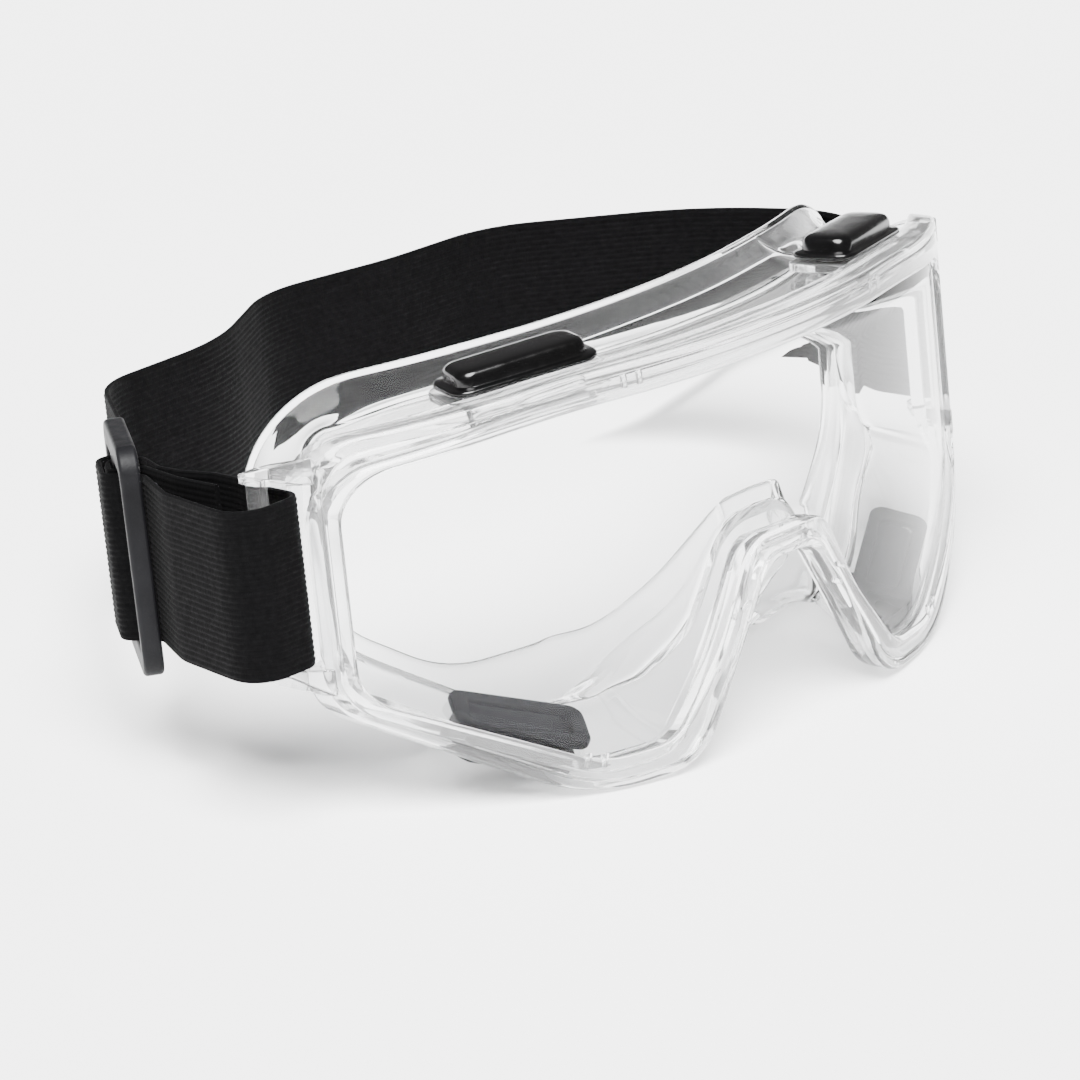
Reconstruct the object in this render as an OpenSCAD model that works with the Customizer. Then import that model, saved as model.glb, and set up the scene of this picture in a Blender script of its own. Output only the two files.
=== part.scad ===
// Indirect-vent safety goggles with an elastic head strap.
// Body frame before the lean: x to the side, y to the face, z up, y = 0 at the front
// of the bezel and z = 0 under the cheeks. The whole model then leans back by lean_deg,
// and its origin moves under the middle of the goggles and strap together.

/* [Stance] */
// Angle that the goggles lean back when they stand on their cheeks
lean_deg = 7.8; // [7:0.1:8.5]
// Height added so that the cheeks meet the ground
lift = 1; // [0.8:0.1:1.2]

/* [Bezel and lens] */
// Half of the bezel's width
half_w = 82.5; // [81.5:0.25:83.5]
// Height of the bezel at the middle of its top edge
top_z = 74.9; // [74.5:0.1:75.5]
// Radius of the bezel's curved front
front_r = 123; // [120:1:128]
// Thickness of the bezel behind its front face
bezel_t = 6.5; // [6:0.1:7]
// Thickness of the lens sheet
lens_t = 2; // [1.6:0.1:2.4]
// How deep the lens edge sits in the bezel's groove
lens_bite = 2.4; // [2:0.1:2.8]

/* [Walls and face skirt] */
// Thickness of the box walls behind the bezel
wall_t = 2; // [1.8:0.1:2.4]
// How far the walls stand in from the bezel's outer edge
wall_in = 1; // [0.8:0.1:1.4]
// Slope at which the floor under the cheeks climbs to the face
floor_deg = 28; // [27:1:30]
// Thickness of the soft face skirt
skirt_t = 1.8; // [1.6:0.1:2.2]

/* [Vents] */
// Distance of each top vent from the middle
top_vent_x = 43.5; // [43:0.5:45]
// Length of a vent cap's flange
vent_l = 28; // [26:0.5:30]
// Width of a vent cap's flange
vent_w = 12; // [11:0.5:13]
// Height of a top vent cap above its flange
cap_h = 2.8; // [2.6:0.1:3.2]

/* [Strap] */
// Width of the webbing
strap_w = 30; // [28:0.5:31]
// Thickness of the webbing
strap_t = 1.2; // [1:0.1:1.4]
// Height of the strap's middle line above the cheeks
strap_z = 47.3; // [46.5:0.1:48]
// Length of the slider along the strap
slider_l = 27; // [26:0.5:28]
// Thickness of the slider
slider_t = 3.6; // [3.4:0.1:4]

/* [Hidden] */
$fn = 120;
gap = 0.15;         // play around seated pieces
floor_in = 2.5;     // how much further in the floor stands than the walls
brow_drop = 1.6;    // how much lower the brow stands than the walls' line
side_in = 12.5;     // how far the side walls close in towards the face
rear_r = 100;       // face side of the box walls
rear_y = 17;        // its nearest point, at the middle
rim_r = 160;        // face side of the skirt
rim_y = 34;         // its nearest point, at the middle
nose_r = 38;        // saddle cut for the nose
nose_y = 34;        // where the saddle meets the ground plane
nose_deg = 31;      // lean of the saddle
saddle_top = 52;    // height where the saddle ends
arc_step = 9;       // largest angle between two points of a rounded corner
far = 200;          // longer than anything in the model
middle_y = 72.5;    // from the bezel's front to the middle of the whole object
ear_play = 1.2;     // room above and below the webbing in its ear
wing_h = 6.4;       // how far an ear's wings reach past the webbing's edge
bar_x = 85.9;       // middle of an ear's strap bar
bar_y = 41.5;
slide_way = [0.6, 0.8];   // the way the slider moves, seen from above
slider_p = [-84.5, 75.9]; // middle of the slider, on the webbing's line

// ---- outline arithmetic ----
function unit(v) = v / norm(v);
function across(v) = [-v[1], v[0]];
function corner_arc(a, b, c, r) =
    let (u = unit(a - b), w = unit(c - b), half = acos(u * w) / 2,
        mid = b + unit(u + w) * r / sin(half),
        p = b + u * r / tan(half) - mid, q = b + w * r / tan(half) - mid,
        from = atan2(p[1], p[0]),
        turn = (atan2(q[1], q[0]) - from + 540) % 360 - 180,
        n = max(2, ceil(abs(turn) / arc_step)))
    [for (i = [0:n]) mid + r * [cos(from + turn * i / n), sin(from + turn * i / n)]];
// Points of a path through corners [x, y, radius]; its two ends stay as they are
function rounded(c) = [for (i = [0:len(c) - 1]) each
    (i == 0 || i == len(c) - 1) ? [[c[i][0], c[i][1]]]
    : corner_arc([c[i - 1][0], c[i - 1][1]], [c[i][0], c[i][1]],
        [c[i + 1][0], c[i + 1][1]], c[i][2])];
// A closed outline from its right half, which runs from the bottom middle to the top middle
function both_sides(h) = concat(h, [for (i = [len(h) - 2:-1:1]) [-h[i][0], h[i][1]]]);
// A closed counter-clockwise outline moved in by d
function inset(p, d) = [for (i = [0:len(p) - 1])
    let (a = p[(i + len(p) - 1) % len(p)], b = p[i], c = p[(i + 1) % len(p)],
        m = across(unit(b - a)), n = across(unit(c - b)))
    b + d * (m + n) / (1 + m * n)];
function side_normal(p, i) = across(unit(p[min(i + 1, len(p) - 1)] - p[max(i - 1, 0)]));
// An open path thickened to a strip of thickness t
function strip(p, t) = concat([for (i = [0:len(p) - 1]) p[i] + side_normal(p, i) * t / 2],
    [for (i = [len(p) - 1:-1:0]) p[i] - side_normal(p, i) * t / 2]);

// Outer edge of the bezel, [x, z, radius], from the nose arch round to the brow
outer_half = rounded([[0, 31.5], [6, 31.5, 6.6], [24.5, 0, 13], [47, 0, 32],
    [half_w, 23, 9], [half_w, top_z - 5, 8], [42, top_z - 0.5, 150], [0, top_z]]);
// Edge of the lens window
window_half = rounded([[0, 36.4], [9.5, 36.4, 6], [17, 20.5, 40],
    [29.5, 5.6, 8], [43, 5.4, 18], [half_w - 3.5, 25, 9], [half_w - 3.5, top_z - 12, 9],
    [45, top_z - 6.7, 150], [0, top_z - 6.5]]);
// Outer edge of the face skirt and the edge of its opening
rim_half = rounded([[0, 40], [5, 40, 5], [23, 3.6, 12], [48, 3.6, 26],
    [78, 30, 22], [78, 74.2, 20], [40, 74.4, 150], [0, 74.4]]);
opening_half = rounded([[0, 43], [8, 43, 4], [21, 19, 16], [47, 19, 24],
    [67, 36, 14], [67, 67, 13], [0, 67]]);
outer_edge = both_sides(outer_half);
window_edge = both_sides(window_half);
rim_edge = both_sides(rim_half);
opening_edge = both_sides(opening_half);

// ---- general pieces ----
module leaned() translate([0, -middle_y, lift]) rotate([-lean_deg, 0, 0]) children();
module prism(points, y0, y1)
    translate([0, y1, 0]) rotate([90, 0, 0]) linear_extrude(height = y1 - y0) polygon(points);
// The space behind a curved face of radius r whose nearest point is at y
module behind(r, y) translate([0, y + r, -far / 2]) cylinder(r = r, h = far * 1.5);
module bezel_shell(outside, inside) difference() {
    behind(front_r - outside, outside);
    behind(front_r - inside, inside);
}
// The space where the face goes, moved away from it by d
module face_space(d) {
    behind(rim_r - d, rim_y + d);
    intersection() {
        translate([0, nose_y + d, 0]) rotate([nose_deg, 0, 0])
            translate([0, nose_r, -far / 2]) cylinder(r = nose_r - d, h = far);
        translate([-far / 2, -far / 2, -far / 2]) cube([far, far * 1.5, far / 2 + saddle_top]);
    }
}
// Everything below the surface that the goggles stand on, which leaves flat lands
module ground() rotate([lean_deg, 0, 0]) translate([-far / 2, -far / 2, -far - lift]) cube(far);
// Depth of the bezel's back at x
function bezel_back(x) = front_r - sqrt(pow(front_r - bezel_t, 2) - x * x);
function tilted(p) = [p[0], p[1] * cos(floor_deg) - bezel_back(p[0]) * sin(floor_deg)];
// The box behind the bezel, moved in by d: brow and sides run straight back, the floor climbs
module box_space(d) intersection() {
    prism(inset(outer_edge, d), -5, 80);
    translate([0, 0, -brow_drop]) prism(inset(outer_edge, d), -5, 80);
    rotate([floor_deg, 0, 0])
        prism(concat([for (p = inset(outer_edge, d + floor_in)) if (p[1] < 40 && p[0] >= 0) tilted(p)],
            [[half_w, 150], [-half_w, 150]],
            [for (p = inset(outer_edge, d + floor_in)) if (p[1] < 40 && p[0] < 0) tilted(p)]),
            -60, 120);
    linear_extrude(height = far) polygon([for (s = [1, -1]) each let (k = half_w - d)
        s > 0 ? [[k, -5], [k, 33], [k - side_in, 46], [k - side_in, 80]]
        : [[-k + side_in, 80], [-k + side_in, 46], [-k, 33], [-k, -5]]]);
}
module pill(l, w, h, r) linear_extrude(height = h)
    polygon(both_ways(l / 2, w / 2, r));
// A rectangle of half sizes a and b with rounded corners of radius r
function both_ways(a, b, r) = [for (k = [0:3], i = [0:6])
    let (s = [[1, 1], [-1, 1], [-1, -1], [1, -1]][k], t = 90 * k + 15 * i)
    [s[0] * (a - r) + r * cos(t), s[1] * (b - r) + r * sin(t)]];

// ---- goggle body ----
module top_vent_place(side)
    translate([side * top_vent_x, 20, top_z - 3.15]) rotate([0, side * 4, 0])
        rotate([0, 0, side * 20]) children();
module lower_vent_place(side)
    translate([side * 50, 24, 9.9]) rotate([floor_deg, 0, 0]) rotate([0, side * -6, 0])
        rotate([0, 0, side * 33]) children();

module goggle_frame() color("gainsboro", 0.6) leaned() difference() {
    union() {
        intersection() {
            difference() {
                prism(outer_edge, -5, 60);
                prism(window_edge, -6, 61);
            }
            bezel_shell(0, bezel_t);
        }
        intersection() {
            difference() {
                box_space(wall_in);
                box_space(wall_in + wall_t);
                behind(rear_r, rear_y);
                face_space(0);
            }
            behind(front_r - bezel_t + 1, bezel_t - 1);
        }
    }
    // lens groove
    intersection() {
        prism(inset(window_edge, -lens_bite - gap), -6, 61);
        bezel_shell(1.9 - gap, 1.9 + lens_t + gap);
    }
    // slots that the vent stems pass through, and room for the plates on both sides
    for (side = [-1, 1]) {
        top_vent_place(side) translate([0, 0, -10]) pill(22, 5, 20, 2.4);
        top_vent_place(side) pill(vent_l + 2, vent_w + 1.5, 5, 3.2);
        top_vent_place(side) translate([0, 0, -wall_t - 5]) pill(25.6, 8.6, 4, 2.2);
        lower_vent_place(side) translate([0, 0, -10]) pill(18, 5, 20, 2.4);
        lower_vent_place(side) translate([0, 0, -20]) pill(24.5, 11, 20, 3.4);
        lower_vent_place(side) translate([0, 0, wall_t + 1]) pill(25.6, 11.2, 8, 2.8);
    }
    ground();
}

module lens() color("aliceblue", 0.35) leaned() intersection() {
    prism(inset(window_edge, -lens_bite), -6, 61);
    bezel_shell(1.9, 1.9 + lens_t);
}

module face_skirt() color("whitesmoke", 0.6) leaned() difference() {
    skirt_shape();
    ground();
}
module skirt_shape() {
    difference() {
        box_space(wall_in);
        box_space(wall_in + skirt_t);
        face_space(skirt_t / 2);
        translate([0, 0, -far / 2]) difference() {
            translate([-far / 2, -far / 2, 0]) cube([far, far * 1.5, far * 1.5]);
            translate([0, rear_y + rear_r, 0]) cylinder(r = rear_r, h = far * 1.5);
        }
    }
    intersection() {
        difference() {
            prism(rim_edge, 0, 80);
            prism(opening_edge, -1, 81);
            face_space(skirt_t);
        }
        face_space(0);
    }
}

// An ear: two tapering wings and the upright bar that the strap runs round
module strap_ear(side) color("gainsboro", 0.6) leaned() difference() {
    union() {
        for (up = [1, -1]) intersection() {
            translate([0, 0, strap_z]) mirror([0, 0, up > 0 ? 0 : 1])
                rotate([90, 0, 90]) linear_extrude(height = 2 * far, center = true)
                    polygon([[28, strap_w / 2 + ear_play], [bar_y + 2.5, strap_w / 2 + ear_play],
                        [bar_y + 2.5, strap_w / 2 + 3], [30, strap_w / 2 + wing_h],
                        [28, strap_w / 2 + wing_h]]);
            linear_extrude(height = far) polygon([[side * (half_w - 3), 28],
                [side * (half_w + 1.6), 33], [side * (bar_x + 1.7), bar_y - 1.5],
                [side * (bar_x + 1.7), bar_y + 2.5], [side * (bar_x - 1.7), bar_y + 2.5],
                [side * (half_w - 3), 38]]);
        }
        translate([side * bar_x, bar_y, strap_z - strap_w / 2 - ear_play - 1])
            pill(2.8, 4, strap_w + 2 * ear_play + 2, 1.2);
    }
    prism(outer_edge, -5, 60);
    box_space(wall_in);
}

// ---- vents ----
// Seat: a foot plate outside the wall, a stem through its slot and a lip inside
module vent_seat(l, w, stem_l, lip_l, lip_w, lip_r, lip_t, post_h) {
    translate([0, 0, 0.1]) pill(l + 1.5, w + 1, 1.5, 3);
    translate([0, 0, -wall_t - 1.2]) pill(stem_l - 0.4, 4.6, wall_t + 1.4, 2.2);
    translate([0, 0, -wall_t - 1.1 - lip_t]) pill(lip_l, lip_w, lip_t, lip_r);
    for (s = [-1, 1]) translate([s * l * 0.22, 0, 1.5]) pill(4, 2.4, post_h, 1);
}
// Cap: a flange with a rounded hood on it, hollow underneath, clear of the foot plate
module vent_cap(l, w, flange, hood) translate([0, 0, 2.1]) difference() {
    union() {
        pill(l, w, flange, 3.4);
        translate([0, 0, flange]) pill(l - 3.6, w - 3, hood, 2.6);
        translate([0, 0, flange + hood]) pill(l - 5.2, w - 4.6, flange * 0.7, 1.8);
    }
    translate([0, 0, -0.1]) pill(l - 7, w - 5.6, flange + hood - 0.4, 1.2);
}

module top_vent_seat(side) color("dimgray") leaned() top_vent_place(side)
    vent_seat(vent_l, vent_w, 22, 25, 8, 2, 1.4, cap_h);
module top_vent_cap(side) color("black") leaned() top_vent_place(side)
    vent_cap(vent_l, vent_w, 1.2, cap_h - 0.9);
module lower_vent_seat(side) color("dimgray") leaned() lower_vent_place(side)
    rotate([180, 0, 0]) vent_seat(21, 9, 18, 25, 10.5, 2.6, 1.6, 2.1);
module lower_vent_cap(side) color("black") leaned() lower_vent_place(side)
    rotate([180, 0, 0]) vent_cap(21, 9, 1.4, 0.8);

// ---- strap ----
module webbing(path) color("black") leaned()
    translate([0, 0, strap_z - strap_w / 2]) linear_extrude(height = strap_w)
        polygon(strip(rounded(path), strap_t));

inward = [slide_way[1], -slide_way[0]];
// A point beside the slider's middle: a towards the ear, b towards the wearer
function by_slider(a, b) = slider_p - a * slide_way + b * inward;
half_l = slider_l / 2;
lead_l = 30;               // straight webbing behind the slider, its room to move
under = slider_t / 2 + 0.8; // the webbing's line where it passes a slider bar
over = slider_t / 2 + 2.2;  // its line over the middle bar and the sewn end
lead_end = by_slider(-half_l - lead_l, under);
bulge = [-96.8, 40.5];

function corner(p, r) = [p[0], p[1], r];

module strap_band() webbing([corner(lead_end, 0), [-50.5, 118, 14], [-20, 119, 40],
    [8, 136, 22], [36, 130, 60], [62, 129, 22], [90, 98, 60], [97.5, 72, 24],
    [90, 52, 12], [88.2, 37.4, 2.2], [83.5, 37.4, 2], [83.4, 50, 10], [94.2, 76, 0]]);

module strap_lead() webbing([corner(by_slider(-half_l - 1, under), 0),
    corner(lead_end - 0.05 * slide_way, 0)]);

module strap_outer_layer() webbing([corner(by_slider(half_l + 1, under), 0),
    [-93.6, 56, 12], corner(bulge + [0.2, 0.6], 0)]);

module strap_ear_loop() webbing([corner(bulge, 0), [-97.2, 33.2, 5.5],
    [-83.8, 33.2, 3.2], [-83.4, 43, 0]]);

module strap_return_layer() webbing([[-83.4, 43.4, 0], [-81.9, 50, 10], [-81.5, 56.4, 0]]);

// Webbing that passes over the slider's middle bar
module strap_wrap() webbing([corner(by_slider(-half_l - 0.6, under), 0),
    corner(by_slider(-8.4, under), 3), corner(by_slider(-5, -over), 2.4),
    corner(by_slider(5, -over), 2.4), corner(by_slider(8.4, under), 3),
    corner(by_slider(half_l + 0.6, under), 0)]);

// The strap's sewn end: from the return layer round the middle bar, then its free tail
module strap_end_loop() webbing([[-81.5, 56.7, 0],
    corner(by_slider(9.5, 8.8), 4), corner(by_slider(5, 5.6), 3),
    corner(by_slider(-3, 3.4), 2), corner(by_slider(-3, -under), 1.4),
    corner(by_slider(3, -under), 1.4), corner(by_slider(3, 3), 1.6),
    corner(by_slider(5, 3.9), 3), corner(by_slider(13.4, 8), 12),
    corner(by_slider(21.4, 13.6), 0)]);

module slider() color("dimgray") leaned()
    translate([slider_p[0], slider_p[1], strap_z])
        rotate([0, 0, atan2(slide_way[1], slide_way[0])]) rotate([90, 0, 0]) difference() {
            translate([0, 0, -slider_t / 2]) pill(slider_l, strap_w + 11, slider_t, 4);
            for (s = [-1, 1]) translate([s * 6.4, 0, -5]) pill(8.6, strap_w + 1.6, 10, 1);
        }

// ---- stitching ----
module bar_tack(p, way, l, t) translate([p[0], p[1], strap_z])
    rotate([0, 0, atan2(way[1], way[0])]) for (i = [-6:6])
        translate([-l / 2, -t / 2, i * 2.1 - 0.35]) cube([l, t, 0.7]);
module stitching_right() color("black") leaned()
    bar_tack(by_slider(6, 5.3), -slide_way + 0.6 * inward, 3.6, 3.2);
module stitching_left() color("black") leaned() bar_tack([94.6, 71], [0.3, 0.95], 9, 3.4);

goggle_frame();
face_skirt();
lens();
strap_ear(-1);  // strap_ear_right
strap_ear(1);  // strap_ear_left
top_vent_seat(-1);  // top_vent_seat_right
top_vent_cap(-1);  // top_vent_cap_right
top_vent_seat(1);  // top_vent_seat_left
top_vent_cap(1);  // top_vent_cap_left
lower_vent_seat(-1);  // lower_vent_seat_right
lower_vent_cap(-1);  // lower_vent_cap_right
lower_vent_seat(1);  // lower_vent_seat_left
lower_vent_cap(1);  // lower_vent_cap_left
strap_band();
strap_lead();
strap_outer_layer();
strap_ear_loop();
strap_return_layer();
strap_wrap();
strap_end_loop();
slider();
stitching_right();
stitching_left();
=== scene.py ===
import math

import bmesh
import bpy
from mathutils import Matrix, Vector


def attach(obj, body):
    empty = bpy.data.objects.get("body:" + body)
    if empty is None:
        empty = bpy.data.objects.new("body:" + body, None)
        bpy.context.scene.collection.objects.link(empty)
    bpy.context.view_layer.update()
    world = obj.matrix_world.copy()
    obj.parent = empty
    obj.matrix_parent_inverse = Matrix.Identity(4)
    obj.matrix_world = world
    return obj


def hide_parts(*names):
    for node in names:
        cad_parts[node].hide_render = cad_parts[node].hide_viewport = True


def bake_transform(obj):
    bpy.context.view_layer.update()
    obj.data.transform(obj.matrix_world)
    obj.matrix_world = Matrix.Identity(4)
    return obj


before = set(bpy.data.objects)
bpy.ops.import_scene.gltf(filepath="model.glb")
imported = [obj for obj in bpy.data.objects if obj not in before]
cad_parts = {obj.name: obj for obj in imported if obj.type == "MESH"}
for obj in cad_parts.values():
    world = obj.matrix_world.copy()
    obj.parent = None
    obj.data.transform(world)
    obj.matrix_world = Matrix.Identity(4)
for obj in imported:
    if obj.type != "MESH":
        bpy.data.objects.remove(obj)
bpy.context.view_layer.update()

# ---------------------------------------------------------------- driving sizes, in millimetres
# Upright frame of the goggles: x to the side, y to the face, z up, y = 0 at the bezel's front.
MM = 0.001
LEAN = math.radians(7.8)          # the goggles lean back on their cheeks
LIFT = 1.0                        # height added so that the cheeks meet the ground
MIDDLE_Y = 72.5                   # from the bezel's front to the scene's origin
TOP_Z = 74.9                      # top of the bezel
HALF_W = 82.5                     # half the bezel's width
FRONT_R = 123.0                   # curve of the bezel's front, seen from above
BEZEL_T = 6.5
LENS_FRONT = 1.9                  # depth of the lens behind the bezel's front
LENS_T = 2.0
LENS_BITE = 2.4                   # how far the lens edge goes into its groove
GAP = 0.12                        # clearance of the lens in its groove
WALL_T = 2.0
SKIRT_T = 1.5
BROW_DROP = 1.6                   # how much lower the brow wall stands than the side walls' line
SIDE_IN = 12.5                    # how far the side walls close in towards the face
FLOOR_DEG = 28.0                  # climb of the box's floor towards the face
NOSE_DEG = 52.0                   # climb of the floor over the nose
REAR_R, REAR_Y = 100.0, 17.0      # rear edge of the box walls
RIM_R, RIM_Y = 160.0, 34.0        # the skirt's face side
STRAP_W, STRAP_T = 30.0, 1.2
STRAP_Z = 47.3                    # height of the strap's middle line
SLIDER_L, SLIDER_T = 27.0, 3.6
SLIDER_P = Vector((-84.5, 75.9))  # the slider's middle, seen from above
SLIDE_WAY = Vector((0.6, 0.8))    # the way that the slider slides
INWARD = Vector((0.8, -0.6))      # from the slider towards the head
EAR_X, EAR_Y = 85.9, 41.5         # middle of an ear's bar, seen from above
EAR_PLAY = 1.2                    # room between the webbing's edge and an ear's wing
ARC_STEPS = 9                     # steps round a corner of an outline
LINE_STEPS = [3, 5, 6, 6, 12, 14, 14, 16]   # steps along each straight stretch of an outline


# ---------------------------------------------------------------- geometry helpers
SHARP_ANGLE = math.radians(50)    # an edge that turns more than this isn't shaded smooth


def place(x, y, z):
    """A point of the upright frame, in millimetres, as a point of the scene, in metres."""
    back = y * math.cos(LEAN) + z * math.sin(LEAN) - MIDDLE_Y
    up = z * math.cos(LEAN) - y * math.sin(LEAN) + LIFT
    return Vector((x, back, up)) * MM


def above_ground(points, height=0.0):
    """Points lifted, where they are too low, to a height in millimetres over the ground."""
    return [Vector((p.x, p.y, max(p.z, height * MM))) for p in points]


def smooth(t):
    """A soft step from 0 to 1 as t goes from 0 to 1."""
    t = min(max(t, 0.0), 1.0)
    return t * t * (3 - 2 * t)


def mix(a, b, t):
    return a + (b - a) * t


def front_depth(x, radius=FRONT_R):
    """How far a round front falls back at x, seen from above."""
    return radius - math.sqrt(radius * radius - x * x)


def corner_points(a, b, c, radius, steps):
    """Points of the arc that rounds corner b of the path a, b, c."""
    u = (a - b).normalized()
    w = (c - b).normalized()
    half = math.acos(max(-1.0, min(1.0, u.dot(w)))) / 2
    mid = b + (u + w).normalized() * radius / math.sin(half)
    p = b + u * radius / math.tan(half) - mid
    q = b + w * radius / math.tan(half) - mid
    start = math.atan2(p.y, p.x)
    turn = (math.atan2(q.y, q.x) - start + 3 * math.pi) % (2 * math.pi) - math.pi
    angles = [start + turn * i / steps for i in range(steps + 1)]
    return [mid + radius * Vector((math.cos(t), math.sin(t))) for t in angles]


def rounded(corners):
    """Points of a path through corners (x, y, radius), with steps along its straight stretches."""
    spots = [Vector(c[:2]) for c in corners]
    last = len(corners) - 1
    parts = []
    for i in range(1, last):
        parts.append(corner_points(spots[i - 1], spots[i], spots[i + 1], corners[i][2], ARC_STEPS))
    parts.append([spots[last]])
    points = [spots[0]]
    for steps, part in zip(LINE_STEPS, parts):
        a, b = points[-1], part[0]
        points += [a.lerp(b, k / steps) for k in range(1, steps)]
        points += part
    return points


def outline(corners):
    """A closed outline from the corners of one half, from the bottom middle to the top middle."""
    half = rounded(corners)
    return half + [Vector((-p.x, p.y)) for p in reversed(half[1:-1])]


def normals(points):
    """Outward normals of a closed counter-clockwise outline."""
    count = len(points)
    out = []
    for i in range(count):
        along = points[(i + 1) % count] - points[i - 1]
        out.append(Vector((along.y, -along.x)).normalized())
    return out


def mesh_piece(name, verts, faces, material, body, node_name):
    """A piece that replaces one CAD node, attached to its body when it is given one and left unattached
    otherwise.
    """
    mesh = bpy.data.meshes.new(name)
    mesh.from_pydata([tuple(v) for v in verts], [], faces)
    work = bmesh.new()
    work.from_mesh(mesh)
    bmesh.ops.remove_doubles(work, verts=work.verts, dist=1e-7)
    bmesh.ops.recalc_face_normals(work, faces=work.faces)
    work.to_mesh(mesh)
    work.free()
    mesh.shade_smooth()
    mesh.set_sharp_from_angle(angle=SHARP_ANGLE)
    piece = bpy.data.objects.new(name, mesh)
    bpy.context.scene.collection.objects.link(piece)
    mesh.materials.append(material)
    if body:
        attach(piece, body)
    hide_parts(node_name)
    return piece


def skin(rings, close_section=False, skip=None):
    """Vertices and faces that join rings of equal length. skip(ring, step) leaves a face out."""
    count = len(rings[0])
    verts = [p for ring in rings for p in ring]
    faces = []
    rows = len(rings) if close_section else len(rings) - 1
    for r in range(rows):
        s = (r + 1) % len(rings)
        for k in range(count):
            if skip and skip(r, k):
                continue
            n = (k + 1) % count
            faces.append((r * count + k, r * count + n, s * count + n, s * count + k))
    return verts, faces


def closed(rings):
    """Vertices and faces of a form that runs through rings and is filled at both ends."""
    verts, faces = skin(rings)
    count = len(rings[0])
    faces.append(list(range(count)))
    faces.append([len(verts) - count + i for i in range(count)])
    return verts, faces


def joined(forms):
    """One list of vertices and one of faces from several forms."""
    verts = []
    faces = []
    for more, quads in forms:
        base = len(verts)
        verts += more
        faces += [[base + i for i in f] for f in quads]
    return verts, faces


def pill_ring(length, width, radius, z, steps=5):
    """A rounded rectangle about the origin, at height z."""
    ring = []
    for quarter, (sx, sy) in enumerate([(1, 1), (-1, 1), (-1, -1), (1, -1)]):
        mid = Vector((sx * (length / 2 - radius), sy * (width / 2 - radius), z))
        for i in range(steps + 1):
            t = math.pi / 2 * (quarter + i / steps)
            ring.append(mid + Vector((math.cos(t), math.sin(t), 0)) * radius)
    return ring


def modifier(piece, kind, **settings):
    m = piece.modifiers.new(kind.title(), kind)
    for key, value in settings.items():
        setattr(m, key, value)


# ---------------------------------------------------------------- materials
def material(name, **inputs):
    """A material, its node tree and its shader, whose sockets are set by name."""
    m = bpy.data.materials.new(name)
    m.use_nodes = True
    shader = m.node_tree.nodes["Principled BSDF"]
    for key, value in inputs.items():
        shader.inputs[key.replace("_", " ")].default_value = value
    return m, m.node_tree, shader


def node(tree, kind, **settings):
    n = tree.nodes.new(kind)
    for key, value in settings.items():
        setattr(n, key, value)
    return n


def object_position(tree):
    return node(tree, "ShaderNodeTexCoord").outputs["Object"]


def noise(tree, scale, detail=3.0, roughness=0.5, stretch=None):
    texture = node(tree, "ShaderNodeTexNoise")
    texture.inputs["Scale"].default_value = scale
    texture.inputs["Detail"].default_value = detail
    texture.inputs["Roughness"].default_value = roughness
    source = object_position(tree)
    if stretch:
        mapping = node(tree, "ShaderNodeMapping")
        mapping.inputs["Scale"].default_value = stretch
        tree.links.new(source, mapping.inputs["Vector"])
        source = mapping.outputs["Vector"]
    tree.links.new(source, texture.inputs["Vector"])
    return texture.outputs["Fac"]


def spread(tree, value, low, high):
    """A value from 0 to 1 mapped to low and high."""
    m = node(tree, "ShaderNodeMapRange")
    m.inputs["From Min"].default_value = 0.25
    m.inputs["From Max"].default_value = 0.75
    m.inputs["To Min"].default_value = low
    m.inputs["To Max"].default_value = high
    tree.links.new(value, m.inputs["Value"])
    return m.outputs["Result"]


def bump(tree, shader, height, strength, distance):
    b = node(tree, "ShaderNodeBump")
    b.inputs["Strength"].default_value = strength
    b.inputs["Distance"].default_value = distance
    tree.links.new(height, b.inputs["Height"])
    tree.links.new(b.outputs["Normal"], shader.inputs["Normal"])


def two_tone(tree, shader, value, dark, light):
    """A base colour that wanders between two tones."""
    ramp = node(tree, "ShaderNodeValToRGB")
    ramp.color_ramp.elements[0].position = 0.3
    ramp.color_ramp.elements[1].position = 0.7
    ramp.color_ramp.elements[0].color = (*dark, 1)
    ramp.color_ramp.elements[1].color = (*light, 1)
    tree.links.new(value, ramp.inputs["Fac"])
    tree.links.new(ramp.outputs["Color"], shader.inputs["Base Color"])


def clear_plastic(name, tone, rough, wave, clarity, index):
    """Moulded translucent PVC: even clear body, faintly uneven gloss and a soft wave in its skin."""
    m, tree, shader = material(name, Transmission_Weight=clarity, IOR=index)
    dark = tuple(c * 0.99 for c in tone)
    two_tone(tree, shader, noise(tree, 60, 2), dark, tone)
    gloss = spread(tree, noise(tree, 240, 4), rough * 0.6, rough * 1.5)
    tree.links.new(gloss, shader.inputs["Roughness"])
    bump(tree, shader, noise(tree, 45, 2), wave, 0.002)
    return m


def lens_plastic():
    m, tree, shader = material("lens_polycarbonate", Transmission_Weight=1.0, IOR=1.18)
    two_tone(tree, shader, noise(tree, 20, 2), (0.992, 0.995, 0.997), (0.996, 0.998, 1.0))
    tree.links.new(spread(tree, noise(tree, 400, 5), 0.0, 0.03), shader.inputs["Roughness"])
    return m


def moulded(name, dark, light, rough_low, rough_high, grain, shine):
    """Opaque moulded plastic with a fine grain in its skin."""
    m, tree, shader = material(name, IOR=1.5, Specular_IOR_Level=shine)
    two_tone(tree, shader, noise(tree, 90, 4), dark, light)
    tree.links.new(spread(tree, noise(tree, 500, 5), rough_low, rough_high),
                   shader.inputs["Roughness"])
    bump(tree, shader, noise(tree, 2600, 3), grain, 0.0002)
    return m


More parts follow.
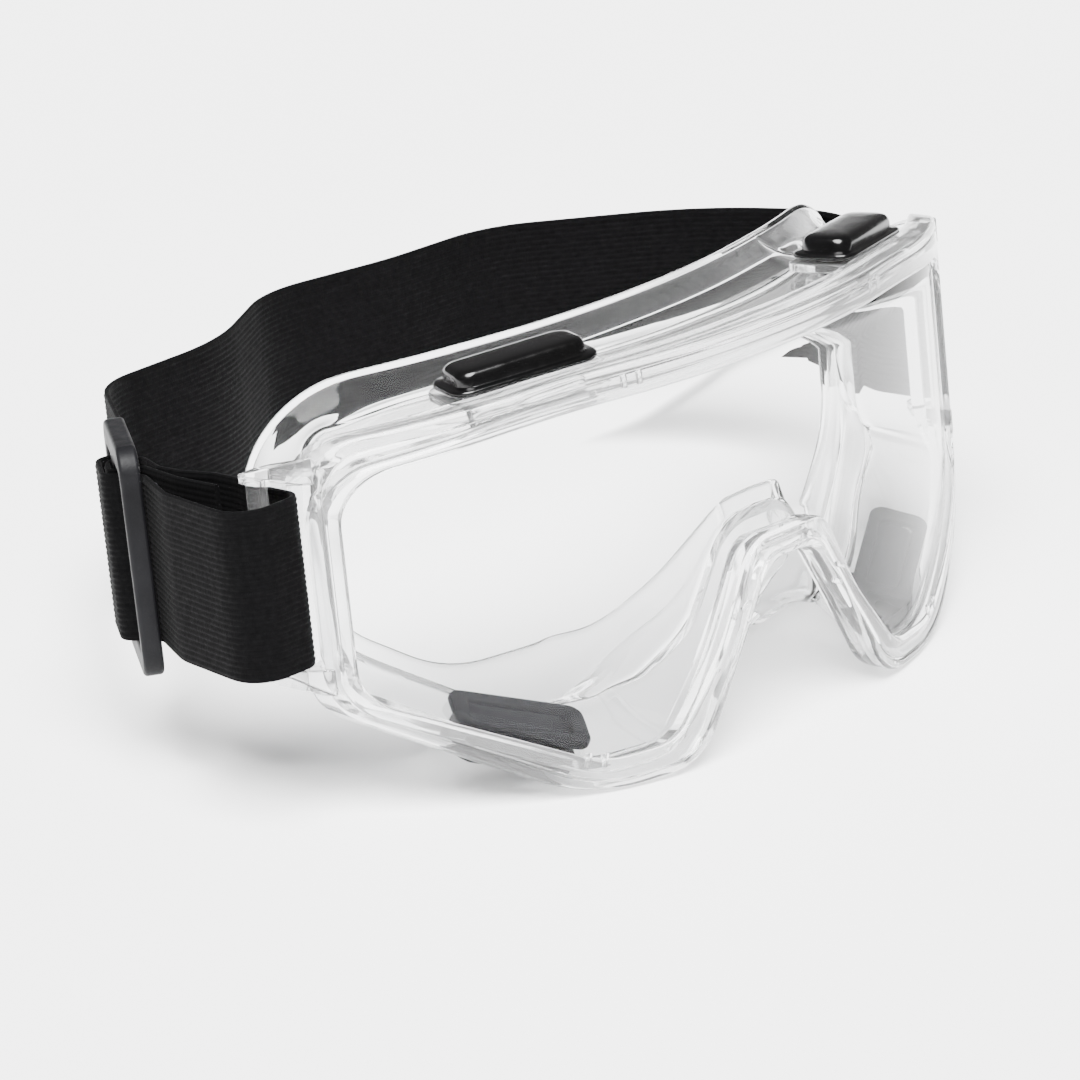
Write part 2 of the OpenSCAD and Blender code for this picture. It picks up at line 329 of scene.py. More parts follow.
def woven(name, dark, light):
    """Ribbed elastic: yarn crossing the ribs, loose fibres and a soft sheen."""
    m, tree, shader = material(name, Sheen_Weight=0.02, Sheen_Roughness=0.4, IOR=1.45,
                               Specular_IOR_Level=0.06)
    two_tone(tree, shader, noise(tree, 700, 6, 0.7), dark, light)
    tree.links.new(spread(tree, noise(tree, 900, 4), 0.72, 0.95), shader.inputs["Roughness"])
    fibre = noise(tree, 2400, 4, 0.7, (1.0, 1.0, 0.35))
    bump(tree, shader, fibre, 0.35, 0.0003)
    return m


PVC = clear_plastic("clear_pvc", (0.992, 0.994, 0.996), 0.05, 0.06, 0.96, 1.4)
SOFT_PVC = clear_plastic("soft_pvc", (0.99, 0.992, 0.994), 0.02, 0.03, 0.997, 1.17)
LENS = lens_plastic()
VENT_BLACK = moulded("vent_cap_gloss", (0.001, 0.001, 0.001), (0.002, 0.002, 0.0022), 0.12, 0.24,
                     0.05, 0.35)
VENT_GREY = moulded("vent_seat_satin", (0.006, 0.006, 0.007), (0.012, 0.012, 0.014), 0.5, 0.62, 0.12,
                    0.1)
SLIDER_BLACK = moulded("slider_satin", (0.003, 0.003, 0.0036), (0.007, 0.007, 0.008), 0.42, 0.56, 0.2,
                       0.1)
WEBBING = woven("elastic_webbing", (0.0006, 0.0006, 0.0007), (0.0016, 0.0016, 0.0018))
THREAD = woven("sewing_thread", (0.02, 0.02, 0.022), (0.045, 0.045, 0.05))

# ---------------------------------------------------------------- outlines, [x, z, radius]
OUTER = outline([(0, 31.5), (6, 31.5, 6.6), (14.7, 17.2, 60), (24.5, 0, 13), (47, 0, 32),
                 (HALF_W, 23, 9), (HALF_W, TOP_Z - 5, 8), (42, TOP_Z - 0.5, 150), (0, TOP_Z)])
WINDOW = outline([(0, 36.4), (9.5, 36.4, 6), (17, 20.5, 40), (29.5, 5.6, 8), (43, 5.4, 18),
                  (HALF_W - 3.5, 25, 9), (HALF_W - 3.5, TOP_Z - 12, 9), (45, TOP_Z - 6.7, 150),
                  (0, TOP_Z - 6.5)])
RIM = outline([(0, 40), (6, 39, 5), (15, 24, 30), (25, 4.4, 10), (47, 4.4, 24),
               (76.9, 30, 22), (76.9, 74, 19), (40, 74.2, 150), (0, 74.2)])
OPENING = outline([(0, 42.6), (7.4, 42.2, 4), (14, 29, 30), (23, 18.4, 14), (47, 18.6, 24),
                   (66.5, 32, 16), (67, 67.4, 14), (40, 68.2, 150), (0, 68.4)])
OUTER_OUT = normals(OUTER)
WINDOW_OUT = normals(WINDOW)
STEPS = range(len(OUTER))


# ---------------------------------------------------------------- goggle frame
def bezel_ring(share, depth, out=0.0):
    """A ring of the bezel: share runs from its outer edge, 0, to the window, 1."""
    ring = []
    for k in STEPS:
        p = OUTER[k].lerp(WINDOW[k], share) + WINDOW_OUT[k] * out
        ring.append(place(p.x, front_depth(p.x) + depth, p.y))
    return ring


def nose_weight(p):
    """1 over the nose and 0 away from it."""
    return smooth((27 - abs(p.x)) / 13) if p.y < 50 else 0.0


def floor_weight(p):
    """1 on the box's floor and 0 on its sides and brow."""
    return 1.0 if abs(p.x) < 40 and p.y < 45 else smooth((34 - p.y) / 11)


def rear_depth(x):
    """Depth of the box walls' rear edge."""
    return REAR_Y + front_depth(x, REAR_R)


NOSE_R = 38.0                     # curve of the nose's bridge, seen along it
NOSE_SLOPE, NOSE_COS = 0.6, 0.857  # how much nearer the bridge comes with height, and its cosine
NO_NOSE = 60.0                    # a depth that lies behind the whole face
NOSE_BLEND = 7.0                  # softness of the turn from the nose to the cheeks


def face_depth(p):
    """Depth of the wearer's face at p: round the head, and nearer at the bridge of the nose."""
    head = RIM_Y + front_depth(min(abs(p.x), 78.5), RIM_R)
    if p.y > 52:
        return head
    bridge = RIM_Y - p.y * NOSE_SLOPE + front_depth(min(abs(p.x), 30), NOSE_R) / NOSE_COS
    bridge = mix(bridge, NO_NOSE, smooth((abs(p.x) - 22) / 12))
    bridge = mix(bridge, NO_NOSE, smooth((p.y - 42) / 10))
    h = min(max(0.5 + 0.5 * (head - bridge) / NOSE_BLEND, 0), 1)
    return mix(head, bridge, h) - NOSE_BLEND * h * (1 - h)


def wall_point(k, inside, share):
    """A point of the box wall: share runs from the bezel's back, 0, to the wall's rear edge, 1."""
    outer = OUTER[k]
    low = floor_weight(outer)
    nose = nose_weight(outer)
    p = outer - OUTER_OUT[k] * (1.0 + 2.5 * low - 1.2 * nose + inside)
    p.y -= BROW_DROP * smooth((outer.y - 62) / 9)
    climb = math.radians(mix(FLOOR_DEG * low, NOSE_DEG, nose))
    start = front_depth(p.x) + BEZEL_T - 0.1
    narrow = SIDE_IN * smooth((abs(p.x) - 55) / 26.5)
    rear = mix(rear_depth(abs(p.x) - narrow), start + 2.6, nose)
    run = max(rear - start, 1.5) * share
    narrow *= min(max((start + run - 33) / 13, 0), 1)
    return Vector((p.x - math.copysign(narrow, p.x), start + run, p.y + run * math.tan(climb)))


def wall_ring(inside, share):
    return [place(*wall_point(k, inside, share)) for k in STEPS]


GATE_W, GATE_L = 0.9, 2.6
GATE_SHIFT = 1.5                  # from the middle of a pair of gate marks to each of them
GATE_SPOTS = ((32, 71.4, 0), (45.3, 6.6, 14), (11.9, 24.3, 64))   # x, z and turn of each pair


def gate_mark(side, x, z, turn, shift):
    """A small moulded bar that stands a little proud of the bezel's front face."""
    angle = math.radians(turn)
    rings = []
    for inset, height in ((0, 0.5), (0, -0.12), (0.12, -0.22)):
        ring = []
        for p in pill_ring(GATE_W - 2 * inset, GATE_L - 2 * inset, 0.25 - inset, 0, 3):
            u = (p.x + shift) * math.cos(angle) - p.y * math.sin(angle)
            w = (p.x + shift) * math.sin(angle) + p.y * math.cos(angle)
            ring.append(place(side * (x + u), front_depth(x + u) + height, z + w))
        rings.append(ring)
    return closed(rings)


def goggle_frame():
    front = [bezel_ring(share, depth) for share, depth in [
        (0.0, 1.3), (0.02, 0.7), (0.07, 0.25), (0.14, 0.1), (0.26, 0.05), (0.29, 0.12), (0.31, 0.4),
        (0.36, 0.45), (0.38, 0.15), (0.42, 0.0), (0.6, 0), (0.84, 0), (0.92, 0.12), (0.98, 0.5),
        (1.0, 0.9), (1.0, LENS_FRONT - GAP)]]
    groove = [bezel_ring(1.0, LENS_FRONT - GAP, LENS_BITE + GAP),
              bezel_ring(1.0, LENS_FRONT + LENS_T + GAP, LENS_BITE + GAP),
              bezel_ring(1.0, LENS_FRONT + LENS_T + GAP)]
    back = [bezel_ring(1.0, 5.4), bezel_ring(0.97, 6.1), bezel_ring(0.9, BEZEL_T)]
    shares = [0, 0.06, 0.2, 0.4, 0.6, 0.8, 0.94, 1.0]
    inner = [wall_ring(WALL_T, s) for s in shares]
    rear = [wall_ring(WALL_T * 0.8, 1.012), wall_ring(WALL_T * 0.2, 1.012)]
    outer = [wall_ring(0, s) for s in reversed(shares)]
    edge = [bezel_ring(0.06, BEZEL_T - 0.1), bezel_ring(0.015, 6.0), bezel_ring(0.0, 5.4)]
    forms = [skin(front + groove + back + inner + rear + outer + edge, close_section=True)]
    for x, z, turn in GATE_SPOTS:
        for side in (-1, 1):
            for shift in (-GATE_SHIFT, GATE_SHIFT):
                forms.append(gate_mark(side, x, z, turn, shift))
    verts, faces = joined(forms)
    mesh_piece("goggle_frame_body", above_ground(verts), faces, PVC, "goggles", "goggle_frame")


# ---------------------------------------------------------------- face skirt
DIP = 2.6                         # deepest sag of the skirt between the box and the rim
ROLL = 1.3                        # size of the rim's rolled edge
SLIT_X = 7.3                      # place of the slits beside the nose flap


def skirt_rings():
    """Rings of the skirt's middle surface, from the wall's rear edge over the rim to the opening."""
    rows = [[] for _ in range(11)]
    for k in STEPS:
        start = wall_point(k, WALL_T / 2, 1.0)
        nose = nose_weight(OUTER[k])
        rim = Vector((RIM[k].x, face_depth(RIM[k]), RIM[k].y))
        free = Vector((OPENING[k].x, face_depth(OPENING[k]) + 0.5, OPENING[k].y))
        out = Vector((OUTER_OUT[k].x, 0, OUTER_OUT[k].y))
        bridge = start.lerp(free, 0.5) + out * 0.6
        rim = rim.lerp(bridge, nose)
        reach = (rim - start).length
        dip = min(DIP, reach * 0.14) * (1 - nose)
        roll = ROLL * (1 - nose)
        away = (rim - start).normalized()
        back = Vector((0, 1, 0))
        first = start + away * (0.3 + WALL_T / 2)
        rows[0].append(first)
        rows[1].append(first.lerp(rim, 0.2) - out * dip * 0.7)
        rows[2].append(first.lerp(rim, 0.5) - out * dip)
        rows[3].append(first.lerp(rim, 0.8) - out * dip * 0.5)
        rows[4].append(rim - away * roll * 0.6)
        rows[5].append(rim + out * roll * 0.35 + back * roll * 0.25)
        rows[6].append(rim + back * roll * 0.9 - out * roll * 0.1)
        rows[7].append(rim.lerp(free, 0.16) + back * roll * 1.1)
        rows[8].append(rim.lerp(free, 0.45) + back * roll * 0.6)
        rows[9].append(rim.lerp(free, 0.8) + back * roll * 0.2)
        rows[10].append(free)
    return [above_ground([place(*p) for p in row], SKIRT_T * 0.6) for row in rows]


def face_skirt():
    rings = skirt_rings()
    slit = min(range(len(OPENING) // 2), key=lambda k: abs(OPENING[k].x - SLIT_X))
    mirrored = len(OPENING) - slit - 1
    verts, faces = skin(rings, skip=lambda r, k: r >= 3 and k in (slit, mirrored))
    piece = mesh_piece("face_skirt_soft", verts, faces, SOFT_PVC, "goggles", "face_skirt")
    modifier(piece, "SOLIDIFY", thickness=SKIRT_T * MM, offset=0.0, use_even_offset=False)
    modifier(piece, "SUBSURF", levels=1, render_levels=1)


# ---------------------------------------------------------------- lens
LENS_ROWS = 8
LENS_COLUMNS = 40                 # columns on each side of the middle
COLUMN_CROWDING = 1.6             # above 1, the columns stand closer together near the side


def lens_face(depth, out):
    """Columns from the lens's lower edge to its upper edge, from the middle to one side."""
    edge = [p + n * out for p, n in zip(WINDOW, WINDOW_OUT)]
    half = edge[:len(WINDOW) // 2 + 1]
    side = max(range(len(half)), key=lambda k: (round(half[k].x, 3), -abs(half[k].y - 42)))
    low = half[:side + 1]
    high = list(reversed(half[side:]))
    columns = []
    for i in range(LENS_COLUMNS + 1):
        x = half[side].x * (1 - (1 - i / LENS_COLUMNS) ** COLUMN_CROWDING)
        a = Vector((x, height_at(low, x)))
        b = Vector((x, height_at(high, x)))
        columns.append([a.lerp(b, r / LENS_ROWS) for r in range(LENS_ROWS + 1)])
    columns = [[Vector((-p.x, p.y)) for p in c] for c in reversed(columns[1:])] + columns
    return [[place(p.x, front_depth(p.x) + depth, p.y) for p in c] for c in columns]


def height_at(line, x):
    """Height of a line of points with rising x at x."""
    for a, b in zip(line, line[1:]):
        if a.x <= x <= b.x + 1e-6 and b.x > a.x:
            return mix(a.y, b.y, (x - a.x) / (b.x - a.x))
    return line[-1].y


def lens():
    """One curved sheet whose edge is chamfered."""
    out = LENS_BITE - 0.05
    chamfer = 0.25
    back = LENS_FRONT + LENS_T
    layers = [(LENS_FRONT + chamfer, out), (LENS_FRONT, out - chamfer), (back, out - chamfer),
              (back - chamfer, out)]
    grids = [lens_face(depth, reach) for depth, reach in layers]
    columns, rows = len(grids[0]), len(grids[0][0])
    border = [(c, 0) for c in range(columns)] + [(columns - 1, r) for r in range(1, rows)]
    border += [(c, rows - 1) for c in range(columns - 2, -1, -1)]
    border += [(0, r) for r in range(rows - 2, 0, -1)]
    starts = [c * rows + r for c in range(columns - 1) for r in range(rows - 1)]
    quads = [(i, i + 1, i + rows + 1, i + rows) for i in starts]
    forms = [([p for column in grid for p in column], quads) for grid in (grids[1], grids[2])]
    forms.append(skin([[grids[g][c][r] for c, r in border] for g in (1, 0, 3, 2)]))
    verts, faces = joined(forms)
    mesh_piece("lens_sheet", verts, faces, LENS, "goggles", "lens")


# ---------------------------------------------------------------- strap ears
def ear(side, name, node_name):
    """Two slanted wings that the strap passes between, with a bar across their rear ends."""
    plan = [(82.2, 31.2), (84.1, 33.2), (87.6, 40), (87.6, 44), (84.2, 44), (82.2, 41.4)]
    slot = STRAP_W / 2 + EAR_PLAY
    forms = []
    for end in (-1, 1):
        near = [place(side * x, y, STRAP_Z + end * slot) for x, y in plan]
        far = [place(side * x, y, STRAP_Z + end * mix(21.4, 18.0, (y - 30) / 14)) for x, y in plan]
        forms.append(closed([near, far]))
    bar = pill_ring(2.8, 4.0, 1.2, 0, 3)
    forms.append(closed([[place(side * EAR_X + p.x, EAR_Y + p.y, STRAP_Z + z) for p in bar]
                         for z in (-slot - 1, slot + 1)]))
    verts, faces = joined(forms)
    piece = mesh_piece(name, verts, faces, PVC, "goggles", node_name)
    modifier(piece, "BEVEL", width=0.55 * MM, segments=3, limit_method="ANGLE",
             angle_limit=math.radians(25))
    modifier(piece, "WEIGHTED_NORMAL", keep_sharp=True)


# ---------------------------------------------------------------- vents
CAP_GAP = 2.1                     # from the wall to the underside of a vent's cap
TOP_CAP_L, LOW_CAP_L = 28.0, 21.0
POST_SHARE = 0.22                 # place of a cap's posts, as a share of its length
LOW_EDGE = 0.2                    # rounding of a moulded block's lower edge


def moulded_form(profile):
    """A form from (length, width, radius, z) rows, filled at both ends."""
    return closed([pill_ring(*row) for row in profile])


def block(length, width, radius, low, high, round_top=0.35):
    """Profile of a moulded block with rounded upper and lower edges."""
    def at(inset, z):
        return (length - 2 * inset, width - 2 * inset, max(radius - inset, 0.2), z)
    a, b = LOW_EDGE, round_top
    return [at(a, low), at(a * 0.3, low + a * 0.3), at(0, low + a), at(0, high - b),
            at(b * 0.12, high - b * 0.5), at(b * 0.45, high - b * 0.12), at(b, high)]


def top_vent(side):
    """Place of a brow vent: z points out of the wall."""
    return (Matrix.Translation((side * 43.5, 20, TOP_Z - 3.15))
            @ Matrix.Rotation(math.radians(side * 4), 4, "Y")
            @ Matrix.Rotation(math.radians(side * 20), 4, "Z"))


def low_vent(side):
    """Place of a vent in the floor: z points down, out of the wall."""
    return (Matrix.Translation((side * 50, 24, 9.9))
            @ Matrix.Rotation(math.radians(FLOOR_DEG), 4, "X")
            @ Matrix.Rotation(math.radians(side * -6), 4, "Y")
            @ Matrix.Rotation(math.radians(side * 33), 4, "Z")
            @ Matrix.Rotation(math.pi, 4, "X"))


def vent_piece(name, forms, frame_at, look, node_name):
    verts, faces = joined(forms)
    verts = [place(*(frame_at @ v)) for v in verts]
    mesh_piece(name, verts, faces, look, "goggles", node_name)


def vent_post(x, top):
    verts, faces = moulded_form(block(4, 2.4, 1.0, 1.4, top, 0.2))
    return [v + Vector((x, 0, 0)) for v in verts], faces


def top_vents(side, word):
    at = top_vent(side)
    post_x = TOP_CAP_L * POST_SHARE
    seat = [moulded_form(block(29.5, 13, 3, 0.1, 1.6, 0.4)),
            moulded_form(block(21.6, 4.6, 2.2, -WALL_T - 1.2, 0.2)),
            moulded_form(block(25, 8, 2, -WALL_T - 2.5, -WALL_T - 1.1)),
            vent_post(-post_x, 4.2), vent_post(post_x, 4.2)]
    vent_piece("top_vent_base_" + word, seat, at, PVC, "top_vent_seat_" + word)
    low = CAP_GAP
    under = [(21, 6.4, 1.2, low + 2.6), (21, 6.4, 1.2, low + 0.5), (21.4, 6.8, 1.4, low),
             (27.2, 11.2, 3.1, low), (27.8, 11.8, 3.4, low + 0.15),
             (TOP_CAP_L, 12, 3.4, low + 0.35)]
    crown = [(TOP_CAP_L, 12, 3.4, low + 0.8), (27.8, 11.8, 3.3, low + 1.05), (27.2, 11.2, 3.1, low + 1.2),
             (25.4, 9.9, 2.7, low + 1.25)]
    hood = [(24.8, 9.4, 2.7, low + 1.45), (24.6, 9.2, 2.7, low + 2.6), (24.2, 8.8, 2.7, low + 3.3),
            (23.4, 8.1, 2.6, low + 3.75), (22.2, 7.1, 2.3, low + 3.95)]
    lid = [(20.6, 5.9, 1.9, low + 4.05), (17, 4, 1.5, low + 4.12), (11, 2, 0.8, low + 4.15)]
    cap = [moulded_form(under + crown + hood + lid)]
    vent_piece("top_vent_hood_" + word, cap, at, VENT_BLACK, "top_vent_cap_" + word)


def low_vents(side, word):
    at = low_vent(side)
    lip_z = -WALL_T - 1.1
    post_x = LOW_CAP_L * POST_SHARE
    lip = [(18, 4, 1.6, lip_z + 0.1), (24.6, 10.1, 2.4, lip_z), (25, 10.5, 2.6, lip_z - 0.25),
           (25, 10.5, 2.6, lip_z - 1.3), (24.6, 10.1, 2.4, lip_z - 1.6),
           (19.4, 6.6, 1.4, lip_z - 1.65), (18.9, 6.1, 1.2, lip_z - 1.4),
           (18.6, 5.8, 1.1, lip_z - 0.75), (17.6, 5.2, 1.0, lip_z - 0.7),
           (16.4, 4.2, 0.7, lip_z - 0.95)]
    seat = [moulded_form(lip), moulded_form(block(22.5, 10, 3, 0.1, 1.6, 0.4)),
            moulded_form(block(17.6, 4.6, 2.2, lip_z - 0.1, 0.2)),
            vent_post(-post_x, 3.5), vent_post(post_x, 3.5)]
    vent_piece("low_vent_base_" + word, seat, at, VENT_GREY, "lower_vent_seat_" + word)
    cap = [moulded_form(block(LOW_CAP_L, 9, 3.4, CAP_GAP, 3.5, 0.4)),
           moulded_form(block(17.4, 6, 2.6, 3.4, 4.3, 0.4)),
           moulded_form(block(15.8, 4.4, 1.8, 4.2, 5.2, 0.3))]
    vent_piece("low_vent_hood_" + word, cap, at, VENT_BLACK, "lower_vent_cap_" + word)


# ---------------------------------------------------------------- strap
STRAP_STEP = 2.0                  # longest step along the webbing
RIBS = 28
RIB_HEIGHT = 0.2
EDGE_T = 0.45                     # how far the webbing's rounded edge stands out


def by_slider(along, across):
    """A point seen from above, so far forwards of the slider's middle and so far inwards."""
    return SLIDER_P - along * SLIDE_WAY + across * INWARD


def corner(p, radius):
    return (p.x, p.y, radius)


def strap_line(corners):
    """Points along a path through corners, closer together where it turns."""
    spots = [Vector(c[:2]) for c in corners]
    last = len(corners) - 1
    points = [spots[0]]
    for i in range(1, last):
        u = (spots[i - 1] - spots[i]).normalized()
        w = (spots[i + 1] - spots[i]).normalized()
        turn = math.pi - math.acos(max(-1.0, min(1.0, u.dot(w))))
        arc = turn * corners[i][2]
        steps = max(3, math.ceil(turn / math.radians(9)), math.ceil(arc / STRAP_STEP))
        points += corner_points(spots[i - 1], spots[i], spots[i + 1], corners[i][2], steps)
    points.append(spots[last])
    line = [points[0]]
    for a, b in zip(points, points[1:]):
        gap = (b - a).length
        if gap < 1e-4:
            continue
        steps = math.ceil(gap / STRAP_STEP)
        line += [a.lerp(b, k / steps) for k in range(1, steps + 1)]
    return line


def webbing_section():
    """The ribbed webbing's cross-section as (across the thickness, along the width)."""
    half = STRAP_T / 2 - RIB_HEIGHT / 2
    flat = STRAP_W / 2 - EDGE_T
    count = RIBS * 4
    side = []
    for i in range(count + 1):
        t = i / count
        rib = RIB_HEIGHT / 2 * math.cos(2 * math.pi * t * RIBS)
        side.append((half - rib, mix(-flat, flat, t)))
    turn = []
    for i in range(1, 6):
        t = math.pi * i / 6
        turn.append((half * math.cos(t), flat + EDGE_T * math.sin(t)))
    return side + turn + [(-a, -b) for a, b in side] + [(-a, -b) for a, b in turn]


def webbing_rings(line):
    """The webbing's cross-section at each point of its line, mitred where the line turns."""
    section = webbing_section()
    rings = []
    for i, p in enumerate(line):
        a = line[max(i - 1, 0)]
        b = line[min(i + 1, len(line) - 1)]
        along = (b - a).normalized()
        out = Vector((along.y, -along.x))
        bend = 1.0
        if 0 < i < len(line) - 1:
            half_turn = (line[i + 1] - p).angle(p - a) / 2
            bend = 1 / math.cos(half_turn)
        rings.append([place(*(p + out * u * bend), STRAP_Z + w) for u, w in section])
    return rings


def strap_piece(name, rings, node_name, body):
    verts, faces = closed(rings)
    return mesh_piece(name, verts, faces, WEBBING, body, node_name)


# places on the strap, seen from above
UNDER = SLIDER_T / 2 + 0.8        # from the slider's middle to the webbing behind it
OVER = SLIDER_T / 2 + 2.2         # from the slider's middle to the webbing over its bar
HALF_L = SLIDER_L / 2
LEAD_L = 30.0                     # length of the straight run behind the slider
LEAD_END = by_slider(-HALF_L - LEAD_L, UNDER)
LEAD_START = by_slider(-HALF_L - 0.8, UNDER)
WRAP_END = by_slider(HALF_L + 0.8, UNDER)
BULGE = Vector((-96.8, 40.5))
LOOP_END = Vector((-83.4, 43.2))
RETURN_BEND = Vector((-82.5, 47.2))
RETURN_END = Vector((-81.5, 56.5))


def straps():
    """One run of webbing from the left ear to the tail at the slider, cut into its pieces."""
    run = [(94.2, 76, 0), (83.4, 50, 10), (83.5, 37.4, 2), (88.2, 37.4, 2.2), (90, 52, 12),
           (97.5, 72, 24), (90, 98, 60), (62, 129, 22), (36, 130, 60), (8, 136, 22),
           (-20, 119, 40), (-50.5, 118, 14)]
    for along, across, radius in [(-8.4, UNDER, 3), (-5, -OVER, 2.4), (5, -OVER, 2.4),
                                  (8.4, UNDER, 3)]:
        run.append(corner(by_slider(along, across), radius))
    run += [(-93.6, 56, 12), (*BULGE, 16), (-97.2, 33.2, 5.5), (-83.8, 33.2, 3.2),
            (-83.4, 43.3, 30), (-81.9, 50, 10), (*RETURN_END, 8)]
    for along, across, radius in [(9.5, 8.8, 4), (5, 5.6, 3), (-3, 3.4, 2), (-3, -UNDER, 1.4),
                                  (3, -UNDER, 1.4), (3, 3, 1.6), (5, 3.9, 3), (13.4, 8, 12),
                                  (21.4, 13.6, 0)]:
        run.append(corner(by_slider(along, across), radius))
    line = strap_line(run)
    rings = webbing_rings(line)
    middle = len(line) // 3
    cuts = [0]
    for spot in (LEAD_END, LEAD_START, WRAP_END, BULGE, LOOP_END, RETURN_END):
        rest = range(max(cuts[-1], middle), len(line))
        cuts.append(min(rest, key=lambda k: (line[k] - spot).length))
    cuts.append(len(line) - 1)
    parts = [("strap_webbing", "strap_band", "strap"),
             ("strap_webbing_lead", "strap_lead", None),
             ("strap_webbing_wrap", "strap_wrap", "slider_group"),
             ("strap_webbing_outer_layer", "strap_outer_layer", None),
             ("strap_webbing_ear_loop", "strap_ear_loop", "strap"),
             ("strap_webbing_return_layer", "strap_return_layer", None),
             ("strap_webbing_end_loop", "strap_end_loop", "slider_group")]
    made = {}
    for (name, node_name, body), a, b in zip(parts, cuts, cuts[1:]):
        made[name] = strap_piece(name, rings[a:b + 1], node_name, body)
    for name, still, moving in (("lead", LEAD_END, LEAD_START), ("outer_layer", BULGE, WRAP_END),
                                ("return_layer", RETURN_BEND, RETURN_END)):
        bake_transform(made["strap_webbing_" + name])


# ---------------------------------------------------------------- slider
SLIDER_ROUND = 0.7                # rounding of the slider's edges
SLOT_SHIFT = 6.4                  # from the slider's middle to the middle of a slot


def slider():
    """A flat plate with two slots, rounded by a curve's bevel and then stood on end."""
    curve = bpy.data.curves.new("slider_outline", "CURVE")
    curve.dimensions = "2D"
    curve.fill_mode = "BOTH"
    curve.bevel_depth = SLIDER_ROUND
    curve.bevel_resolution = 3
    curve.offset = -SLIDER_ROUND
    curve.extrude = SLIDER_T / 2 - SLIDER_ROUND
    loops = [(pill_ring(SLIDER_L, STRAP_W + 11, 4.6, 0, 10), 0)]
    slot = pill_ring(8.6, STRAP_W + 1.6, 1.4, 0, 5)
    loops += [(slot, -SLOT_SHIFT), (slot, SLOT_SHIFT)]
    for ring, shift in loops:
        spline = curve.splines.new("POLY")
        spline.points.add(len(ring) - 1)
        for point, p in zip(spline.points, ring):
            point.co = (p.x + shift, p.y, 0, 1)
        spline.use_cyclic_u = True
    shell = bpy.data.objects.new("slider_outline", curve)
    bpy.context.scene.collection.objects.link(shell)
    bpy.context.view_layer.update()
    made = shell.evaluated_get(bpy.context.evaluated_depsgraph_get())
    mesh = bpy.data.meshes.new_from_object(made)
    verts = []
    for v in mesh.vertices:
        spot = by_slider(v.co.x, v.co.z)
        verts.append(place(spot.x, spot.y, STRAP_Z + v.co.y))
    faces = [list(f.vertices) for f in mesh.polygons]
    bpy.data.objects.remove(shell)
    piece = mesh_piece("slider_buckle", verts, faces, SLIDER_BLACK, "slider_group", "slider")
    modifier(piece, "WEIGHTED_NORMAL", keep_sharp=True)


# ---------------------------------------------------------------- stitching
STITCH_ROWS = range(-6, 7)
STITCH_PITCH = 2.1
THREAD_SIDES = 8


def stitching(name, middle, way, length, thick, node_name, body):
    """Rows of thread loops that hold the webbing's layers together."""
    way = Vector(way).normalized()
    across = Vector((way.y, -way.x))
    forms = []
    for row in STITCH_ROWS:
        path = pill_ring(length - 0.5, thick - 0.5, 0.5, 0, 4)
        rings = []
        for i, p in enumerate(path):
            along = path[(i + 1) % len(path)] - path[i - 1]
            out = Vector((along.y, -along.x, 0)).normalized()
            ring = []
            for k in range(THREAD_SIDES):
                t = 2 * math.pi * k / THREAD_SIDES
                q = p + out * 0.22 * math.cos(t)
                spot = middle + way * q.x + across * q.y
                ring.append(place(spot.x, spot.y, STRAP_Z + row * STITCH_PITCH + 0.3 * math.sin(t)))
            rings.append(ring)
        forms.append(skin(rings, close_section=True))
    verts, faces = joined(forms)
    mesh_piece(name, verts, faces, THREAD, body, node_name)


goggle_frame()
face_skirt()
lens()
ear(-1, "strap_ear_body_right", "strap_ear_right")
ear(1, "strap_ear_body_left", "strap_ear_left")
for side, word in ((-1, "right"), (1, "left")):
    top_vents(side, word)
    low_vents(side, word)
straps()
slider()
stitching("tack_right", by_slider(6, 5.3), -SLIDE_WAY + 0.6 * INWARD, 3.6, 3.2, "stitching_right",
          "slider_group")
stitching("tack_left", Vector((94.6, 71)), (0.3, 0.95), 9, 3.4, "stitching_left", "strap")


# ---------------------------------------------------------------- floor, light and camera
FLOOR_SIZE = 3.0                  # half the floor's side, in metres
FLOOR_DROP = 0.0002               # keeps the floor clear of the goggles' underside, in metres
SKY_SEEN = 3.5                    # brightness of the sky, seen directly or through clear plastic
SKY_IN_GLOSS = 0.22               # brightness of the sky for reflections and as a light


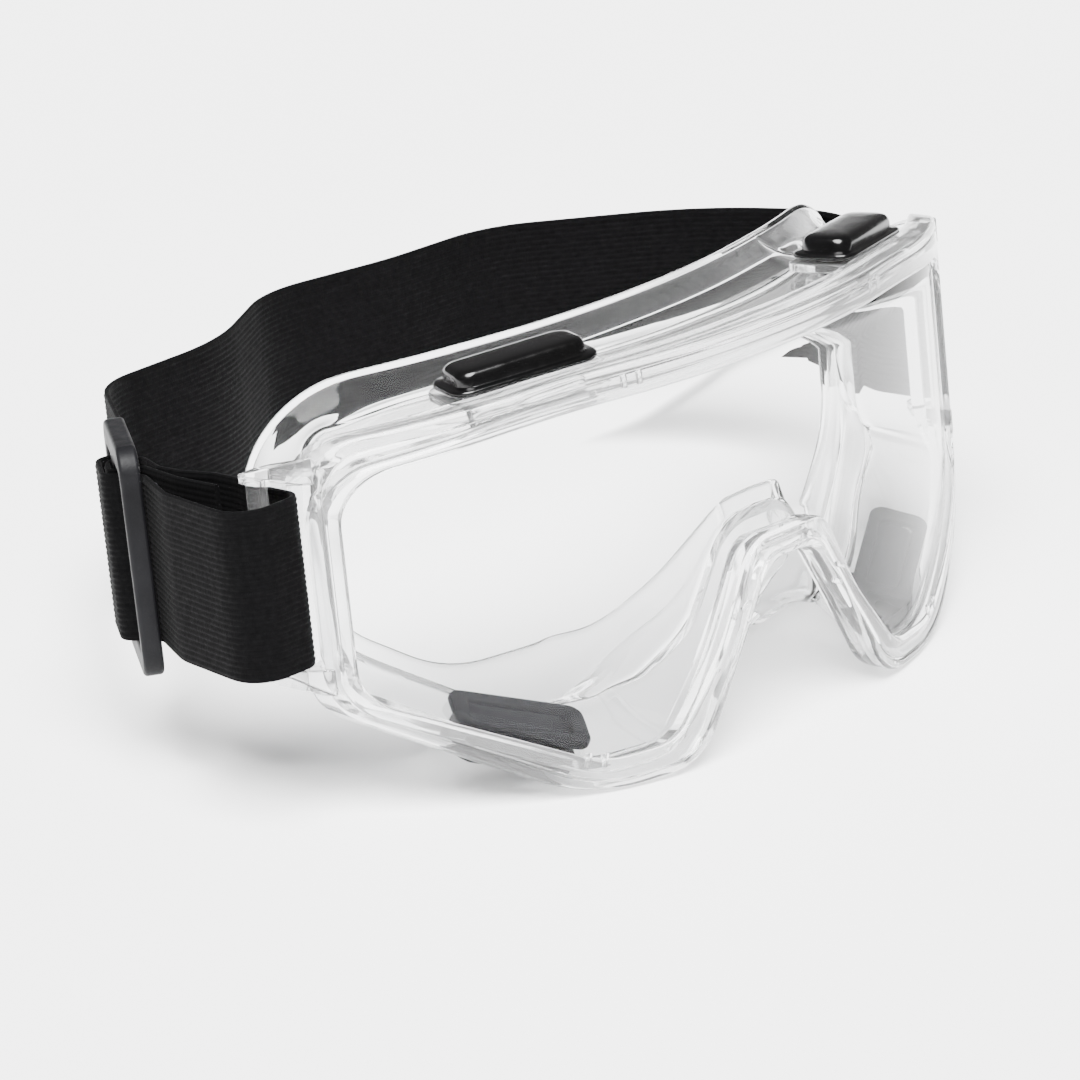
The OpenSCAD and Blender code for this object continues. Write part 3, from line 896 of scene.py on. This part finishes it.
def floor():
    corners = [(-1, -1), (1, -1), (1, 1), (-1, 1)]
    verts = [(x * FLOOR_SIZE, y * FLOOR_SIZE, -FLOOR_DROP) for x, y in corners]
    mesh = bpy.data.meshes.new("studio_floor")
    mesh.from_pydata(verts, [], [(0, 1, 2, 3)])
    ground = bpy.data.objects.new("studio_floor", mesh)
    bpy.context.scene.collection.objects.link(ground)
    look, tree, shader = material("studio_white", Roughness=0.9, IOR=1.3)
    two_tone(tree, shader, noise(tree, 6, 2), (0.9, 0.9, 0.9), (0.92, 0.92, 0.92))
    mesh.materials.append(look)


def studio():
    """A white sky, which is bright behind the goggles and faint in their gloss, and a soft sun."""
    world = bpy.data.worlds.new("studio")
    bpy.context.scene.world = world
    world.use_nodes = True
    tree = world.node_tree
    sky = tree.nodes["Background"]
    sky.inputs["Color"].default_value = (1, 1, 1, 1)
    path = node(tree, "ShaderNodeLightPath")
    seen = node(tree, "ShaderNodeMath", operation="MAXIMUM")
    tree.links.new(path.outputs["Is Camera Ray"], seen.inputs[0])
    tree.links.new(path.outputs["Is Transmission Ray"], seen.inputs[1])
    level = node(tree, "ShaderNodeMapRange")
    level.inputs["To Min"].default_value = SKY_IN_GLOSS
    level.inputs["To Max"].default_value = SKY_SEEN
    tree.links.new(seen.outputs["Value"], level.inputs["Value"])
    tree.links.new(level.outputs["Result"], sky.inputs["Strength"])
    sun = bpy.data.lights.new("soft_overhead", "SUN")
    sun.energy = 19.0
    sun.angle = math.radians(42)
    lamp = bpy.data.objects.new("soft_overhead", sun)
    lamp.rotation_euler = (math.radians(16), math.radians(-20), 0)
    bpy.context.scene.collection.objects.link(lamp)


def camera():
    data = bpy.data.cameras.new("photo_camera")
    data.lens = 184
    data.sensor_width = 36
    eye = Vector((-0.6813, -0.6366, 0.4018))
    aim = Vector((-0.0284, -0.0342, 0.0338))
    shot = bpy.data.objects.new("photo_camera", data)
    shot.location = eye
    shot.rotation_euler = (aim - eye).to_track_quat("-Z", "Y").to_euler()
    bpy.context.scene.collection.objects.link(shot)
    bpy.context.scene.camera = shot


floor()
studio()
camera()
